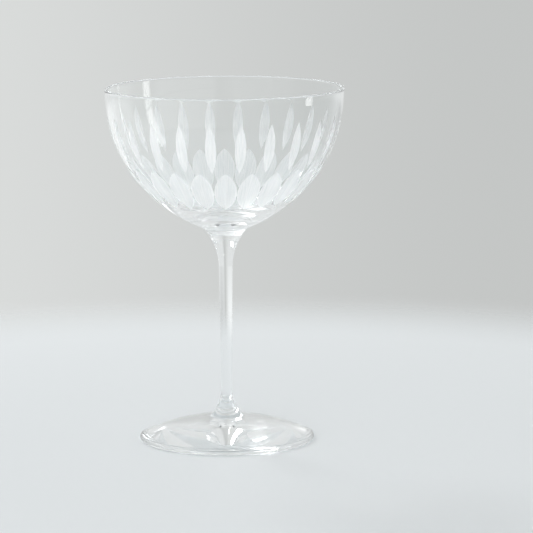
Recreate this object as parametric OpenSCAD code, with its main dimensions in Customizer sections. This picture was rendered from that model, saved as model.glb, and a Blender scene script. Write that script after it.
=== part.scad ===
// Coupe glass: a thin blown bowl with two rows of matte wheel cuts, a drawn stem and a domed foot.
// Millimetres, +Z up. The origin is on the glass's axis, on the surface that the foot stands on.

/* [Overall] */
// Height from the table to the top of the rim
total_h = 164.8; // [140:0.2:190]
// Outside diameter of the bowl at the rim
rim_d = 110.6; // [100:0.2:120]
// Diameter of the foot
foot_d = 81.5; // [70:0.5:92]

/* [Bowl] */
// Wall thickness of the bowl's side
wall = 1.6; // [1.4:0.05:2.4]
// Lean of the wall from upright at the rim, degrees
rim_lean = 0.8; // [0:0.1:4]
// Radius of the arc that the upper side follows
side_r = 80; // [70:1:100]
// Lean from upright where the side turns into the belly, degrees
side_lean = 9.8; // [8:0.2:13]
// Radius of the arc that the belly follows
belly_r = 65; // [58:0.5:70]
// Lean from upright where the belly turns into the base, degrees
belly_lean = 39.5; // [36:0.5:44]
// Thickness of the glass at the bottom of the bowl, above the stem
base_t = 4.6; // [4:0.2:8]

/* [Wheel cuts] */
// Number of cuts in each row
cuts = 24; // [16:1:24]
// Distance from the rim down to the upper tips of the slim cuts
slim_drop = 11.6; // [8:0.2:15]
// Distance from the rim down to where the slim cuts end and the leaves begin
waist_drop = 34.4; // [32:0.2:37]
// Distance from the rim down to the lower tips of the leaves
leaf_drop = 52.6; // [50:0.2:55]
// Width of a slim cut at its middle
slim_w = 5; // [3:0.25:6]
// Depth of a slim cut at its middle
slim_depth = 0.5; // [0.3:0.05:0.8]
// Width of a leaf at its middle
leaf_w = 10.2; // [7:0.1:10.2]
// Depth of a leaf's crease at its middle
leaf_depth = 0.65; // [0.45:0.05:0.85]

/* [Stem] */
// Diameter where the stem joins the bowl
neck_d = 20; // [15:0.5:24]
// Height of the flare under the bowl
neck_h = 18; // [12:0.5:24]
// Diameter of the shank below the neck
shank_top_d = 6.6; // [5:0.1:9]
// Diameter of the shank above the foot, its thinnest place
shank_low_d = 4.9; // [4:0.1:7]
// Height of the flare above the foot
ankle_h = 13.5; // [9:0.5:18]
// Diameter where the stem joins the foot
ankle_d = 16; // [12:0.5:20]

/* [Foot] */
// Radius of the foot's domed top
dome_r = 97; // [85:1:130]
// Thickness of the foot's rounded edge
edge_t = 2.4; // [1.6:0.1:3.2]
// Width of the flat ring that the foot stands on
ring_w = 3; // [2:0.25:6]
// Height of the hollow under the foot
hollow_h = 4; // [2:0.25:5]

/* [Hidden] */
$fn = 240;
glass_tint = [0.84, 0.9, 0.91, 0.5];
// Room added past a face so that a cut passes clean through it
over = 1;
// Depth by which one arc runs across the next, so that smooth joins in an outline also overlap
lap = 0.005;
// Height by which the tighter of two arcs runs on past their join
arc_run = 8;
// Direction that the first leaf faces, degrees
front = -90;
// Room beside a cut's widest place and between neighbouring cuts
cut_room = 0.1;
// Turn by which the wheel runs on past each tip of a cut, degrees
run_out = 1;

// Outline of the bowl: three arcs, each tangent to the next, from the rim down to the stem.
// A point is [radius, height], and a lean is the wall's angle from upright.
function along(lean) = [cos(lean), -sin(lean)];
rim_round_r = wall / 2 + lap;
rim_c = [rim_d / 2 - rim_round_r, total_h - rim_round_r];
side_c = rim_c - (side_r - wall / 2) * along(rim_lean);
side_end = side_c + side_r * along(side_lean);
belly_c = side_end - belly_r * along(side_lean);
belly_end = belly_c + belly_r * along(belly_lean);

// Inside of the bowl: the same arcs one wall further in, closed by a sphere centred on the axis.
inner_side_end = side_c + (side_r - wall) * along(side_lean);
inner_belly_end = belly_c + (belly_r - wall) * along(belly_lean);
well_c = [0, belly_c[1] + belly_c[0] * tan(belly_lean)];
well_r = belly_r - wall + belly_c[0] / cos(belly_lean);
well_z = well_c[1] - well_r;

// The base arc leaves the belly smoothly and ends where the stem is stuck on.
neck_r = neck_d / 2;
seat_z = well_z - base_t;
base_run = [neck_r, seat_z] - belly_end;
base_r = -(base_run * base_run) / (2 * base_run * along(belly_lean));
base_c = belly_end - base_r * along(belly_lean);

// Radius of the bowl's outside at a height on its side, belly or base
function arc_r(c, r, z) = c[0] + sqrt(r * r - pow(z - c[1], 2));
function outer_r(z) =
    z > side_end[1] ? arc_r(side_c, side_r, z)
    : z > belly_end[1] ? arc_r(belly_c, belly_r, z)
    : arc_r(base_c, base_r, z);

// Outline of the foot: a sphere centred on the axis that runs into a rounded edge.
foot_r = foot_d / 2;
edge_r = edge_t / 2;
edge_c = [foot_r - edge_r, edge_r];
dome_c = [0, edge_r - sqrt(pow(dome_r - edge_r, 2) - pow(edge_c[0], 2))];
edge_end = dome_c + (edge_c - dome_c) * dome_r / (dome_r - edge_r);
ankle_r = ankle_d / 2;
foot_h = dome_c[1] + sqrt(dome_r * dome_r - ankle_r * ankle_r);
ring_in = edge_c[0] - ring_w;
hollow_r = (ring_in * ring_in + hollow_h * hollow_h) / (2 * hollow_h);

// The part of a disc between two heights, on the outer side of the axis
module arc_band(c, r, low, high) {
    intersection() {
        translate(c) circle(r);
        translate([0, low]) square([c[0] + r + over, high - low]);
    }
}

// Where two arcs meet, the tighter one swells by the lap and runs on past the join.
module bowl_outside() {
    arc_band(side_c, side_r, side_end[1], rim_c[1]);
    arc_band(belly_c, belly_r + lap, belly_end[1] - arc_run, side_end[1] + arc_run);
    arc_band(base_c, base_r, seat_z, belly_end[1]);
}

module bowl_inside() {
    arc_band(side_c, side_r - wall, inner_side_end[1], total_h);
    arc_band(belly_c, belly_r - wall + lap, inner_belly_end[1], inner_side_end[1] + arc_run);
    arc_band(well_c, well_r + lap, well_z - over, inner_belly_end[1] + arc_run);
}

// The blown bowl before it is cut, with the rim rounded as a flame leaves it
module bowl_blank() {
    rotate_extrude() {
        difference() {
            bowl_outside();
            bowl_inside();
        }
        translate(rim_c) circle(rim_round_r);
    }
}

// One mitre cut from height low to height high, w wide and depth deep at its middle. The edge of
// the wheel follows an arc through both tips, flatter than the wall, so the cut is deepest midway.
module wheel_cut(low, high, w, depth) {
    tip_a = [outer_r(low), low];
    tip_b = [outer_r(high), high];
    chord = norm(tip_b - tip_a);
    lean = atan2(tip_b[0] - tip_a[0], high - low);
    middle = (tip_a + tip_b) / 2;
    bulge = (outer_r(middle[1]) - middle[0]) * cos(lean);
    rise = bulge - depth;
    path_r = chord * chord / (8 * rise) + rise / 2;
    path_c = middle - (path_r - rise) * along(lean);
    sweep = 2 * asin(chord / (2 * path_r)) + 2 * run_out;
    hoop_r = outer_r(middle[1]) / cos(lean);
    flank = (depth - w * w / (8 * hoop_r)) / (w / 2);
    half_w = w / 2 + cut_room;
    reach = depth + over;
    translate([path_c[0], 0, path_c[1]])
        rotate([90, lean, 0])
        rotate([0, 0, -sweep / 2])
        rotate_extrude(angle = sweep)
        polygon([
            [path_r, 0],
            [path_r + flank * half_w, half_w],
            [path_r + reach, half_w],
            [path_r + reach, -half_w],
            [path_r + flank * half_w, -half_w]
        ]);
}

// A row of cuts round the bowl, each kept to its own share of the turn
module cut_row(first, low, high, w, depth) {
    pitch = 360 / cuts;
    far = rim_d;
    half_share = far * tan(pitch / 2) - cut_room;
    for (i = [0 : cuts - 1]) {
        rotate(first + i * pitch) intersection() {
            wheel_cut(low, high, w, depth);
            translate([0, 0, seat_z])
                linear_extrude(total_h - seat_z)
                polygon([[0, 0], [far, half_share], [far, -half_share]]);
        }
    }
}

module bowl() {
    color(glass_tint) difference() {
        difference() {
            bowl_blank();
            cut_row(front, total_h - leaf_drop, total_h - waist_drop, leaf_w, leaf_depth);
        }
        cut_row(front + 180 / cuts, total_h - waist_drop, total_h - slim_drop, slim_w, slim_depth);
    }
}

// A flare of the stem, from radius r at height 0 to radius wide at height h
module flare(r, wide, h) {
    start = r - lap;
    out = wide - start;
    flare_r = (h * h + out * out) / (2 * out);
    difference() {
        square([wide, h]);
        translate([start + flare_r, 0]) circle(flare_r);
    }
}

// The shank's taper runs on into both flares, where it is thinner than they are.
module stem() {
    neck_z = seat_z - neck_h;
    ankle_z = foot_h + ankle_h;
    shank_top = [shank_top_d / 2, neck_z];
    shank_low = [shank_low_d / 2, ankle_z];
    taper = (shank_top - shank_low) / (neck_z - ankle_z);
    color(glass_tint) rotate_extrude() {
        translate([0, neck_z]) flare(shank_top[0], neck_r, neck_h);
        polygon([
            [0, ankle_z - ankle_h / 2],
            shank_low - taper * ankle_h / 2,
            shank_top + taper * neck_h / 2,
            [0, neck_z + neck_h / 2]
        ]);
        translate([0, ankle_z]) mirror([0, 1]) flare(shank_low[0], ankle_r, ankle_h);
    }
}

module foot_section() {
    difference() {
        union() {
            arc_band(dome_c, dome_r, edge_end[1], foot_h);
            square([edge_c[0], edge_end[1]]);
            translate(edge_c) intersection() {
                circle(edge_r + lap);
                translate([-edge_r, -edge_r]) square([edge_t, edge_t]);
            }
        }
        translate([0, hollow_h - hollow_r]) circle(hollow_r);
    }
}

module foot() {
    color(glass_tint) rotate_extrude() foot_section();
}

bowl();
stem();
foot();
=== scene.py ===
import math

import bmesh
import bpy
from mathutils import Matrix, Vector


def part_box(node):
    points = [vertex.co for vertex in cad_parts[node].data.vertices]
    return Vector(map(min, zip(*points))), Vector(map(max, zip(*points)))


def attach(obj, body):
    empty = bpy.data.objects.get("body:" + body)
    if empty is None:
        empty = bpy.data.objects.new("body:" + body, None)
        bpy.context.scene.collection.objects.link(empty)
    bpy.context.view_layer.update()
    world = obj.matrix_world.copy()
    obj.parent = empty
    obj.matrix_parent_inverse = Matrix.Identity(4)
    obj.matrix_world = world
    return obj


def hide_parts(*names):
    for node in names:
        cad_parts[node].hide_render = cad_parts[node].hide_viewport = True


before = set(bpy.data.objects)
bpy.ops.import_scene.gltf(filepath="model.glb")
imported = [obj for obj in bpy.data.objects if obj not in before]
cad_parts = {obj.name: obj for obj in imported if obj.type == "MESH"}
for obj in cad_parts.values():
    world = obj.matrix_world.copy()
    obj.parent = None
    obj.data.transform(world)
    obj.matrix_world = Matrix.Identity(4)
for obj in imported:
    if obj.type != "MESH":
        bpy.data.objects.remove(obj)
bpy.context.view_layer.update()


# The bowl
# A thin blown bowl of clear crystal with a fire-polished rim. Two rows of mitre cuts are ground into
# its outside with a V-edged wheel and left matte, and its thick bottom is stuck hot to the stem.
bowl_low, bowl_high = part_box("bowl")
SEAT_Z = bowl_low.z
WALL = 0.0016
NECK_R = 0.01
SIDE_R = 0.08
BELLY_R = 0.065
# How far the wall leans from upright at the rim, and where the side ends and the belly ends
RIM_LEAN = math.radians(0.8)
SIDE_LEAN = math.radians(9.8)
BELLY_LEAN = math.radians(39.5)
# Steps of a full turn about the axis, and of the arcs in the outline
TURN_STEPS = 288
BASE_STEPS = 36
BELLY_STEPS = 32
SIDE_STEPS = 14
RIM_STEPS = 14
WELL_STEPS = 40
# Points nearer than this are one point.
MERGE = 1e-6
# Faces meeting at more than this inside a cut are its crease.
CREASE_ANGLE = math.radians(3)
# Places in a piece's list of materials, in which the clear glass is at 0
MATTE = 1
FUSED = 2


def outward(lean):
    """Direction square to a wall that leans this far from upright, as radius and height"""
    return Vector((math.cos(lean), -math.sin(lean)))


def line_to(bm, tip, radius, height):
    """Carries an outline on from its tip in a straight line"""
    tip = bmesh.ops.extrude_vert_indiv(bm, verts=[tip])["verts"][0]
    tip.co = (radius, 0, height)
    return tip


def arc_to(bm, tip, centre, turn, steps):
    """Carries an outline on from its tip along an arc, anticlockwise as seen from the front"""
    swung = bmesh.ops.spin(
        bm, geom=[tip], cent=(centre.x, 0, centre.y), axis=(0, -1, 0), angle=turn, steps=steps
    )
    return next(part for part in swung["geom_last"] if isinstance(part, bmesh.types.BMVert))


def turn_outline(bm):
    """Turns an outline about the glass's axis into a closed solid with its faces outwards"""
    bmesh.ops.spin(
        bm, geom=bm.verts[:] + bm.edges[:], cent=(0, 0, 0), axis=(0, 0, 1),
        angle=math.tau, steps=TURN_STEPS, use_merge=True,
    )
    bmesh.ops.remove_doubles(bm, verts=bm.verts[:], dist=MERGE)
    bmesh.ops.recalc_face_normals(bm, faces=bm.faces[:])


def fuse_at(bm, height, radius):
    """Marks the disc where a piece is fused to the next one, which light crosses without bending"""
    for face in bm.faces:
        flat = all(abs(v.co.z - height) < MERGE for v in face.verts)
        if flat and face.calc_center_median().xy.length < radius:
            face.material_index = FUSED


def place(bm, name, materials):
    """Puts a finished mesh into the scene as a piece"""
    mesh = bpy.data.meshes.new(name)
    bm.to_mesh(mesh)
    bm.free()
    for material in materials:
        mesh.materials.append(material)
    piece = bpy.data.objects.new(name, mesh)
    bpy.context.collection.objects.link(piece)
    return piece


def shade(mesh):
    """Shades a mesh smooth, but sharp where finishes meet and along the creases of the cuts.
    The attribute cut_edge runs across each cut, from 0 in its crease to 1 at its edge."""
    bm = bmesh.new()
    bm.from_mesh(mesh)
    cut_edge = bm.verts.layers.float.new("cut_edge")
    for vert in bm.verts:
        vert[cut_edge] = len({face.material_index for face in vert.link_faces}) - 1
    for face in bm.faces:
        face.smooth = True
    for edge in bm.edges:
        kinds = {face.material_index for face in edge.link_faces}
        creased = kinds == {MATTE} and edge.calc_face_angle(0) > CREASE_ANGLE
        edge.smooth = len(kinds) == 1 and not creased
    bm.to_mesh(mesh)
    bm.free()


def linear(code):
    """Linear colour, with full alpha, of an sRGB hex value"""
    parts = [int(code[i:i + 2], 16) / 255 for i in (1, 3, 5)]
    return [c / 12.92 if c <= 0.04045 else ((c + 0.055) / 1.055) ** 2.4 for c in parts] + [1]


def add_node(tree, kind, settings, links=None):
    """Adds a node, sets its inputs and options by name and links other nodes' outputs to it"""
    node = tree.nodes.new(kind)
    for name, value in settings.items():
        if isinstance(name, int) or name in node.inputs:
            node.inputs[name].default_value = value
        else:
            setattr(node, name, value)
    for name, source in (links or {}).items():
        tree.links.new(source, node.inputs[name])
    return node


def start_material(name):
    """An empty node material with its output"""
    material = bpy.data.materials.new(name)
    material.use_nodes = True
    material.node_tree.nodes.clear()
    tree = material.node_tree
    return material, tree, add_node(tree, "ShaderNodeOutputMaterial", {})


# Clear lead-free crystal, blown and fire polished: colourless, with the faint long ripple that
# a blown surface keeps, which shows only as a slight waver in what is seen through it.
CRYSTAL_IOR = 1.52
RIPPLE = 0.018
RIPPLE_DEPTH = 0.00001
clear_glass, tree, output = start_material("clear_blown_crystal")
place_on_piece = add_node(tree, "ShaderNodeTexCoord", {})
ripple = add_node(
    tree, "ShaderNodeTexNoise", {"Scale": 1 / RIPPLE, "Detail": 0.5},
    {"Vector": place_on_piece.outputs["Object"]},
)
waver = add_node(
    tree, "ShaderNodeBump", {"Strength": 1, "Distance": RIPPLE_DEPTH}, {"Height": ripple.outputs[0]}
)
glass = add_node(
    tree, "ShaderNodeBsdfPrincipled",
    {"Base Color": linear("#FDFEFE"), "Roughness": 0, "IOR": CRYSTAL_IOR, "Transmission Weight": 1},
    {"Normal": waver.outputs[0]},
)
tree.links.new(glass.outputs[0], output.inputs["Surface"])

# The same crystal where a wheel has ground it and it is left unpolished: a white matte skin that lets
# part of the light through, with fine scratches along the wheel's path, drawn a little coarse so that
# they show. Along the edges and creases of the cuts a painted highlight makes it whiter, and there it
# lets less light through.
SCRATCH = 0.00045
SCRATCH_LENGTH = 0.009
SCRATCH_DEPTH = 0.00006
SCRATCH_STRENGTH = 0.4
# Mean radius of the bowl where it is cut
CUT_R = 0.045
# The scratches' noise turns from grey to white between these values.
GREY_AT = 0.35
WHITE_AT = 0.65
FINE_ROUGHNESS = 0.65
COARSE_ROUGHNESS = 0.88
# Shares of a cut's half width that carry the painted highlight at its edge and at its crease, and shares
# of the light that the skin lets through away from the highlight and under it
EDGE_HIGHLIGHT_SHARE = 0.12
CREASE_HIGHLIGHT_SHARE = 0.06
MATTE_PASSES = 0.65
PAINTED_HIGHLIGHT_PASSES = 0.05
matte_glass, tree, output = start_material("wheel_cut_matte_crystal")
place_on_piece = add_node(tree, "ShaderNodeTexCoord", {})
parts = add_node(tree, "ShaderNodeSeparateXYZ", {}, {"Vector": place_on_piece.outputs["Object"]})
around = add_node(
    tree, "ShaderNodeMath", {"operation": "ARCTAN2"}, {0: parts.outputs["Y"], 1: parts.outputs["X"]}
)
across = add_node(
    tree, "ShaderNodeMath", {"operation": "MULTIPLY", 1: CUT_R / SCRATCH}, {0: around.outputs[0]}
)
along = add_node(
    tree, "ShaderNodeMath", {"operation": "MULTIPLY", 1: 1 / SCRATCH_LENGTH}, {0: parts.outputs["Z"]}
)
lay = add_node(tree, "ShaderNodeCombineXYZ", {}, {"X": across.outputs[0], "Y": along.outputs[0]})
scratches = add_node(
    tree, "ShaderNodeTexNoise", {"noise_dimensions": "2D", "Scale": 1, "Detail": 3, "Roughness": 0.6},
    {"Vector": lay.outputs[0]},
)
grain = add_node(
    tree, "ShaderNodeMapRange", {"To Min": FINE_ROUGHNESS, "To Max": COARSE_ROUGHNESS},
    {"Value": scratches.outputs[0]},
)
furrows = add_node(
    tree, "ShaderNodeBump", {"Strength": SCRATCH_STRENGTH, "Distance": SCRATCH_DEPTH},
    {"Height": scratches.outputs[0]},
)
frost = add_node(tree, "ShaderNodeValToRGB", {}, {"Fac": scratches.outputs[0]})
grey, brightest = frost.color_ramp.elements
grey.position = GREY_AT
grey.color = linear("#ECEFF0")
brightest.position = WHITE_AT
brightest.color = linear("#FFFFFF")
# Painted highlight: the cuts' edges and creases are painted white and let less light through. This
# stands in for the light that glints along them.
across_cut = add_node(tree, "ShaderNodeAttribute", {"attribute_name": "cut_edge"}).outputs["Fac"]
edge = add_node(
    tree, "ShaderNodeMapRange", {"From Min": 1 - EDGE_HIGHLIGHT_SHARE, "From Max": 1}, {"Value": across_cut}
)
crease_highlight = add_node(
    tree, "ShaderNodeMapRange", {"From Min": CREASE_HIGHLIGHT_SHARE, "From Max": 0}, {"Value": across_cut}
)
painted_highlight = add_node(
    tree, "ShaderNodeMath", {"operation": "MAXIMUM"}, {0: edge.outputs[0], 1: crease_highlight.outputs[0]}
)
frost_and_painted_highlight = add_node(
    tree, "ShaderNodeMixRGB", {"Color2": linear("#FFFFFF")},
    {"Fac": painted_highlight.outputs[0], "Color1": frost.outputs[0]},
)
passed = add_node(
    tree, "ShaderNodeMapRange", {"To Min": MATTE_PASSES, "To Max": PAINTED_HIGHLIGHT_PASSES},
    {"Value": painted_highlight.outputs[0]},
)
ground = add_node(
    tree, "ShaderNodeBsdfPrincipled", {"IOR": CRYSTAL_IOR},
    {
        "Base Color": frost_and_painted_highlight.outputs[0],
        "Roughness": grain.outputs[0],
        "Transmission Weight": passed.outputs[0],
        "Normal": furrows.outputs[0],
    },
)
tree.links.new(ground.outputs[0], output.inputs["Surface"])

# Crystal fused to crystal: no surface is left there, so light goes straight on.
fused_glass, tree, output = start_material("fused_crystal_joint")
unseen = add_node(tree, "ShaderNodeBsdfPrincipled", {"Base Color": linear("#FFFFFF"), "Alpha": 0})
tree.links.new(unseen.outputs[0], output.inputs["Surface"])
CRYSTAL = [clear_glass, matte_glass, fused_glass]

# The outline's arcs, each tangent to the next, as radius and height
rim_c = Vector((bowl_high.x - WALL / 2, bowl_high.z - WALL / 2))
side_c = rim_c - (SIDE_R - WALL / 2) * outward(RIM_LEAN)
belly_c = side_c + (SIDE_R - BELLY_R) * outward(SIDE_LEAN)
belly_end = belly_c + BELLY_R * outward(BELLY_LEAN)
well_c = Vector((0, belly_c.y + belly_c.x * math.tan(BELLY_LEAN)))
base_run = Vector((NECK_R, SEAT_Z)) - belly_end
base_r = -base_run.length_squared / (2 * base_run.dot(outward(BELLY_LEAN)))
base_c = belly_end - base_r * outward(BELLY_LEAN)
neck_lean = math.acos((NECK_R - base_c.x) / base_r)
side_end = side_c + SIDE_R * outward(SIDE_LEAN)

bm = bmesh.new()
tip = bm.verts.new((0, 0, SEAT_Z))
tip = line_to(bm, tip, NECK_R, SEAT_Z)
tip = arc_to(bm, tip, base_c, neck_lean - BELLY_LEAN, BASE_STEPS)
tip = arc_to(bm, tip, belly_c, BELLY_LEAN - SIDE_LEAN, BELLY_STEPS)
tip = arc_to(bm, tip, side_c, SIDE_LEAN - RIM_LEAN, SIDE_STEPS)
tip = arc_to(bm, tip, rim_c, math.pi, RIM_STEPS)
tip = arc_to(bm, tip, side_c, RIM_LEAN - SIDE_LEAN, SIDE_STEPS)
tip = arc_to(bm, tip, belly_c, SIDE_LEAN - BELLY_LEAN, BELLY_STEPS)
tip = arc_to(bm, tip, well_c, BELLY_LEAN - math.pi / 2, WELL_STEPS)
tip.co.x = 0
turn_outline(bm)
fuse_at(bm, SEAT_Z, NECK_R)
bowl = place(bm, "crystal_bowl", CRYSTAL)

# The cuts: a row of leaves round the belly, and a row of slim cuts above and between them
CUTS = 24
CUT_STEPS = 28
# The wheel runs on this far past the tips, beside the cut and outside the glass.
RUN_ON = math.radians(1)
CUT_ROOM = 0.0001
CUT_CLEARANCE = 0.001
# Direction that the first leaf faces, which is the front
FACING = -math.pi / 2
# Drops from the rim to the slim cuts' upper tips, to where the rows meet and to the leaves' lower tips
SLIM_DROP = 0.0116
WAIST_DROP = 0.0344
LEAF_DROP = 0.0526
slim_top_z = bowl_high.z - SLIM_DROP
waist_z = bowl_high.z - WAIST_DROP
leaf_low_z = bowl_high.z - LEAF_DROP
LEAF = {"low": leaf_low_z, "high": waist_z, "width": 0.0102, "depth": 0.00065, "first": 0}
SLIM = {"low": waist_z, "high": slim_top_z, "width": 0.005, "depth": 0.0005, "first": math.pi / CUTS}


def outer_radius(height):
    """Radius of the bowl's outside at a height"""
    centre, radius = base_c, base_r
    if height > side_end.y:
        centre, radius = side_c, SIDE_R
    elif height > belly_end.y:
        centre, radius = belly_c, BELLY_R
    return centre.x + math.sqrt(radius ** 2 - (height - centre.y) ** 2)


def wheel_cutter(low, high, width, depth):
    """The path of the wheel's V edge through one cut, as a closed solid on the +X side"""
    tip_low = Vector((outer_radius(low), low))
    tip_high = Vector((outer_radius(high), high))
    middle = (tip_low + tip_high) / 2
    chord = (tip_high - tip_low).length
    lean = math.atan2(tip_high.x - tip_low.x, high - low)
    rise = (outer_radius(middle.y) - middle.x) * math.cos(lean) - depth
    path_r = chord ** 2 / (8 * rise) + rise / 2
    path_c = middle - (path_r - rise) * outward(lean)
    sweep = 2 * math.asin(chord / (2 * path_r)) + 2 * RUN_ON
    hoop_r = outer_radius(middle.y) / math.cos(lean)
    flank = (depth - width ** 2 / (8 * hoop_r)) / (width / 2)
    half = width / 2 + CUT_ROOM
    shoulder = path_r + flank * half
    reach = path_r + depth + CUT_CLEARANCE
    bm = bmesh.new()
    edge_of_wheel = [(path_r, 0), (shoulder, half), (reach, half), (reach, -half), (shoulder, -half)]
    start = outward(lean + sweep / 2)
    corners = [
        bm.verts.new((path_c.x + r * start.x, side, path_c.y + r * start.y))
        for r, side in edge_of_wheel
    ]
    blade = bm.faces.new(corners)
    bmesh.ops.spin(
        bm, geom=[blade], cent=(path_c.x, 0, path_c.y), axis=(0, -1, 0), angle=sweep, steps=CUT_STEPS
    )
    bmesh.ops.recalc_face_normals(bm, faces=bm.faces[:])
    return bm


# Neighbouring cutters overlap outside the glass, so each row is cut in two passes of every other one.
PASSES = 2
for row in (LEAF, SLIM):
    for start in range(PASSES):
        bm = wheel_cutter(row["low"], row["high"], row["width"], row["depth"])
        turned = FACING + row["first"] + start * math.tau / CUTS
        bmesh.ops.rotate(bm, verts=bm.verts[:], cent=(0, 0, 0), matrix=Matrix.Rotation(turned, 3, "Z"))
        bmesh.ops.spin(
            bm, geom=bm.verts[:] + bm.edges[:] + bm.faces[:], cent=(0, 0, 0), axis=(0, 0, 1),
            angle=math.tau * (1 - PASSES / CUTS), steps=CUTS // PASSES - 1, use_duplicate=True,
        )
        for face in bm.faces:
            face.material_index = MATTE
        cutter = place(bm, "cutter", CRYSTAL)
        cut = bowl.modifiers.new("cut", "BOOLEAN")
        cut.object = cutter
        cut.operation = "DIFFERENCE"
        cut.solver = "MANIFOLD"
        cut_bowl = bowl.evaluated_get(bpy.context.evaluated_depsgraph_get())
        cut_mesh = bpy.data.meshes.new_from_object(cut_bowl)
        bowl.modifiers.clear()
        bowl.data = cut_mesh
        bpy.data.objects.remove(cutter)
shade(bowl.data)
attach(bowl, "root")
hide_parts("bowl")


# The stem
# A gather of the same crystal, stuck to the bowl's bottom and drawn down while hot into a slim
# shank. It flares into the bowl above and into the foot below, and both ends are fused.
stem_low, stem_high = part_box("stem")
NECK_H = 0.018
SHANK_TOP_R = 0.0033
SHANK_LOW_R = 0.00245
ANKLE_H = 0.0135
ANKLE_R = 0.008
ANKLE_STEPS = 20
SHANK_STEPS = 24
NECK_STEPS = 24


def flare_arc(slim, wide, height):
    """Radius and turn of the arc by which the stem opens from slim to wide over a height"""
    out = wide - slim
    radius = (height ** 2 + out ** 2) / (2 * out)
    return radius, math.asin(height / radius)


ankle_arc_r, ankle_turn = flare_arc(SHANK_LOW_R, ANKLE_R, ANKLE_H)
neck_arc_r, neck_turn = flare_arc(SHANK_TOP_R, NECK_R, NECK_H)
ankle_c = Vector((SHANK_LOW_R + ankle_arc_r, stem_low.z + ANKLE_H))
neck_c = Vector((SHANK_TOP_R + neck_arc_r, stem_high.z - NECK_H))
bm = bmesh.new()
tip = bm.verts.new((0, 0, stem_low.z))
tip = line_to(bm, tip, ANKLE_R, stem_low.z)
tip = arc_to(bm, tip, ankle_c, -ankle_turn, ANKLE_STEPS)
for step in range(1, SHANK_STEPS + 1):
    share = step / SHANK_STEPS
    shank_r = SHANK_LOW_R + share * (SHANK_TOP_R - SHANK_LOW_R)
    shank_z = ankle_c.y + share * (neck_c.y - ankle_c.y)
    tip = line_to(bm, tip, shank_r, shank_z)
tip = arc_to(bm, tip, neck_c, -neck_turn, NECK_STEPS)
tip = line_to(bm, tip, 0, stem_high.z)
turn_outline(bm)
fuse_at(bm, stem_low.z, ANKLE_R)
fuse_at(bm, stem_high.z, NECK_R)
stem = place(bm, "drawn_stem", CRYSTAL)
shade(stem.data)
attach(stem, "root")
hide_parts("stem")


# The foot
# A disc of the same crystal, pressed and spun out while hot: domed on top, rounded at its edge and
# hollow underneath, so that it stands on a narrow flat ring. The stem is fused to its crown.
foot_low, foot_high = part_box("foot")
DOME_R = 0.097
EDGE_R = 0.0012
RING_W = 0.003
HOLLOW_H = 0.004
HOLLOW_STEPS = 40
EDGE_STEPS = 16
DOME_STEPS = 40
edge_c = Vector((foot_high.x - EDGE_R, foot_low.z + EDGE_R))
dome_c = Vector((0, edge_c.y - math.sqrt((DOME_R - EDGE_R) ** 2 - edge_c.x ** 2)))
edge_rise = math.atan2(edge_c.y - dome_c.y, edge_c.x)
crown_rise = math.acos(ANKLE_R / DOME_R)
ring_in = edge_c.x - RING_W
hollow_r = (ring_in ** 2 + HOLLOW_H ** 2) / (2 * HOLLOW_H)
hollow_c = Vector((0, foot_low.z + HOLLOW_H - hollow_r))
bm = bmesh.new()
tip = bm.verts.new((0, 0, foot_low.z + HOLLOW_H))
tip = arc_to(bm, tip, hollow_c, -math.asin(ring_in / hollow_r), HOLLOW_STEPS)
tip = line_to(bm, tip, edge_c.x, foot_low.z)
tip = arc_to(bm, tip, edge_c, math.pi / 2 + edge_rise, EDGE_STEPS)
tip = arc_to(bm, tip, dome_c, crown_rise - edge_rise, DOME_STEPS)
tip = line_to(bm, tip, 0, tip.co.z)
crown_z = tip.co.z
turn_outline(bm)
fuse_at(bm, crown_z, ANKLE_R)
foot = place(bm, "domed_foot", CRYSTAL)
shade(foot.data)
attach(foot, "root")
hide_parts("foot")


# The floor
# A round pale table top with a satin finish. Its rim fades out, so that it passes softly into the
# grey behind it.
FLOOR_GAP = 0.00005
FLOOR_R = 0.42
FADE_FROM = 0.27
FLOOR_STEPS = 128
# Painted board with a satin varnish: an even pale grey with a broad, faint sheen.
table_finish, tree, output = start_material("pale_satin_table")
place_on_piece = add_node(tree, "ShaderNodeTexCoord", {})
from_axis = add_node(
    tree, "ShaderNodeVectorMath", {"operation": "LENGTH"}, {0: place_on_piece.outputs["Object"]}
)
fade = add_node(
    tree, "ShaderNodeMapRange",
    {
        "interpolation_type": "SMOOTHSTEP",
        "From Min": FADE_FROM,
        "From Max": FLOOR_R,
        "To Min": 1,
        "To Max": 0,
    },
    {"Value": from_axis.outputs["Value"]},
)
top = add_node(
    tree, "ShaderNodeBsdfPrincipled", {"Base Color": linear("#DCDFE1"), "Roughness": 0.5},
    {"Alpha": fade.outputs[0]},
)
tree.links.new(top.outputs[0], output.inputs["Surface"])
bm = bmesh.new()
bmesh.ops.create_circle(
    bm, cap_ends=True, segments=FLOOR_STEPS, radius=FLOOR_R,
    matrix=Matrix.Translation((0, 0, -FLOOR_GAP)),
)
floor = place(bm, "table_top", [table_finish])


# The light
# A pale room with a grey wall on each of its four sides, whose lower part darkens towards the right,
# and three softboxes. The one behind at the left gives the shadow its direction.
ROOM_STRENGTH = 1.2
world = bpy.data.worlds.new("pale_room_with_grey_walls")
world.use_nodes = True
tree = world.node_tree
tree.nodes.clear()
looking = add_node(tree, "ShaderNodeTexCoord", {})
parts = add_node(tree, "ShaderNodeSeparateXYZ", {}, {"Vector": looking.outputs["Generated"]})
rightward, backward, upward = parts.outputs
aside = add_node(tree, "ShaderNodeMath", {"operation": "ABSOLUTE"}, {0: rightward}).outputs[0]


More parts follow.
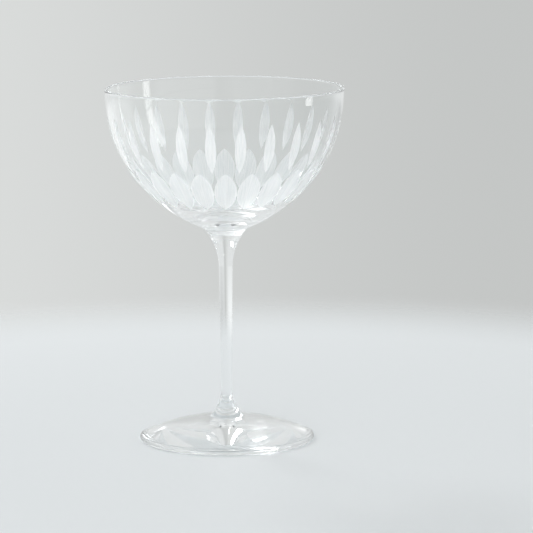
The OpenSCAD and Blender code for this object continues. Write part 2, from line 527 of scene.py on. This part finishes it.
def blend(value, span, first, second):
    """Passes softly from one tone of the room to another as a direction's value rises through a span"""
    share = add_node(
        tree, "ShaderNodeMapRange",
        {"interpolation_type": "SMOOTHSTEP", "From Min": span[0], "From Max": span[1]}, {"Value": value},
    )
    mix = add_node(tree, "ShaderNodeMixRGB", {}, {"Fac": share.outputs[0]})
    for socket, tone in (("Color1", first), ("Color2", second)):
        if isinstance(tone, str):
            mix.inputs[socket].default_value = linear(tone)
        else:
            tree.links.new(tone, mix.inputs[socket])
    return mix.outputs[0]


# Spans are parts of a unit direction: below 0 to the left, front or foot, above 0 to the right, back
# or ceiling. The walls' edges are told by how far a direction goes aside, to either hand.
LEFT_TO_RIGHT = (-0.7, 0.6)
FRONT_TO_BACK = (-0.2, 0.5)
SILL = (-0.16, -0.12)
CEILING = (0.75, 0.95)
ACROSS_WALL = (-0.1, 0.1)
WALL_EDGE = (0.1, 0.2)
SIDE_WALL_EDGE = (0.92, 0.98)
lower_sides = blend(rightward, LEFT_TO_RIGHT, "#EBEDED", "#B6B8B8")
windows = blend(backward, FRONT_TO_BACK, "#DDDFDF", "#D0D2D2")
sides = blend(upward, SILL, lower_sides, windows)
room = blend(upward, CEILING, sides, "#CDCFCF")
wall = blend(rightward, ACROSS_WALL, "#CACCCB", "#B5B7B6")
room_and_side_walls = blend(aside, SIDE_WALL_EDGE, room, wall)
seen = blend(aside, WALL_EDGE, wall, room_and_side_walls)
glow = add_node(tree, "ShaderNodeBackground", {"Strength": ROOM_STRENGTH}, {"Color": seen})
add_node(tree, "ShaderNodeOutputWorld", {}, {"Surface": glow.outputs[0]})
bpy.context.scene.world = world
# Light is passed on many times inside the thick glass of the foot and the bowl's bottom.
GLASS_BOUNCES = 32
cycles = bpy.context.scene.cycles
cycles.max_bounces = GLASS_BOUNCES
cycles.diffuse_bounces = GLASS_BOUNCES
cycles.glossy_bounces = GLASS_BOUNCES
cycles.transmission_bounces = GLASS_BOUNCES
cycles.transparent_max_bounces = GLASS_BOUNCES
# Light keeps its sharp path through the glass, or the table under the foot would stay in the dark.
cycles.blur_glossy = 0
# Height on the glass that the softboxes are aimed at
AIM_Z = 0.11


def softbox(name, stands_at, size, power):
    """A softbox of a width and height in metres and a power in watts, aimed at the glass"""
    lamp = bpy.data.lights.new(name, "AREA")
    lamp.shape = "RECTANGLE"
    lamp.size, lamp.size_y = size
    lamp.energy = power
    box = bpy.data.objects.new(name, lamp)
    box.location = stands_at
    aim = Vector((0, 0, AIM_Z)) - Vector(stands_at)
    box.rotation_euler = aim.to_track_quat("-Z", "Y").to_euler()
    bpy.context.collection.objects.link(box)
    return box


softbox("right_softbox", stands_at=(0.95, -0.05, 0.35), size=(0.15, 0.8), power=1)
# These two are kept out of reflections, where they would stand as white patches in the foot and bowl.
left = softbox("left_softbox", stands_at=(-0.5, 1, 0.8), size=(0.3, 0.5), power=6)
left.visible_glossy = False
front = softbox("front_softbox", stands_at=(-0.35, -1.1, 0.2), size=(0.7, 0.35), power=5)
front.visible_glossy = False
front.visible_transmission = False


# The camera
# A long lens a little above the rim, as in the photograph, with the glass left of centre.
IMAGE_SIDE = 533
FOCAL_PIXELS = 3225
SENSOR_MM = 36
NEAREST = 0.05
STANDS_AT = (-0.0095, -1.481, 0.314)
TURN = math.radians(-1.1)
LOOKS_DOWN = math.radians(8.94)
ROLL = math.radians(-0.35)
camera_data = bpy.data.cameras.new("camera")
camera_data.sensor_width = SENSOR_MM
camera_data.lens = SENSOR_MM * FOCAL_PIXELS / IMAGE_SIDE
camera_data.clip_start = NEAREST
camera = bpy.data.objects.new("camera", camera_data)
camera.location = STANDS_AT
turn = Matrix.Rotation(TURN, 4, "Z")
tilt = Matrix.Rotation(math.pi / 2 - LOOKS_DOWN, 4, "X")
roll = Matrix.Rotation(ROLL, 4, "Z")
camera.rotation_euler = (turn @ tilt @ roll).to_euler()
bpy.context.collection.objects.link(camera)
bpy.context.scene.camera = camera
bpy.context.scene.view_settings.view_transform = "Standard"
